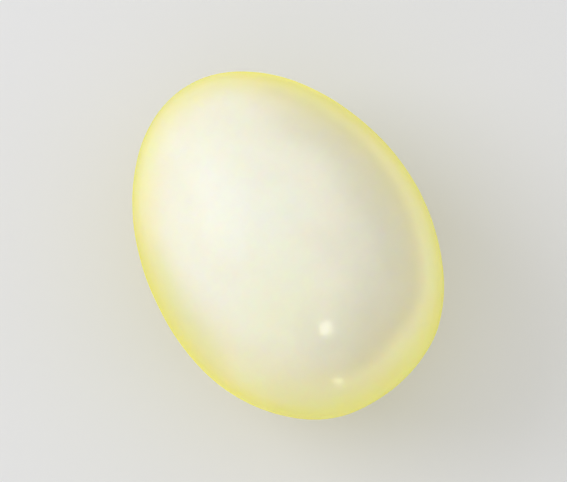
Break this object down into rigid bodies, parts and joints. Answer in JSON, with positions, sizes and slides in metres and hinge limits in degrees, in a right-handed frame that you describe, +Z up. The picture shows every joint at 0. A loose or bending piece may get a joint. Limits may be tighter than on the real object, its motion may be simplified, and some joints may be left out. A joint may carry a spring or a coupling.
{
  "type": "hard-boiled egg",
  "caption": "Whole peeled hard-boiled hen's egg, smooth and ivory white, lying on its side on a small flat spot.",
  "frame": {"origin": "middle of the small flat spot that the egg rests on, straight below its centre of mass", "axes": "+Z up off the table, +X along the egg's length towards its blunt end, +Y across it"},
  "size_m": [0.0551, 0.0421, 0.0414],
  "materials": {
    "egg_white": "cooked egg white, firm, wet and glossy, ivory on top and pale lemon on the flanks, where brine has tinted it"
  },
  "bodies": {
    "root": {"egg_white": "egg_white"}
  },
  "joints": []
}
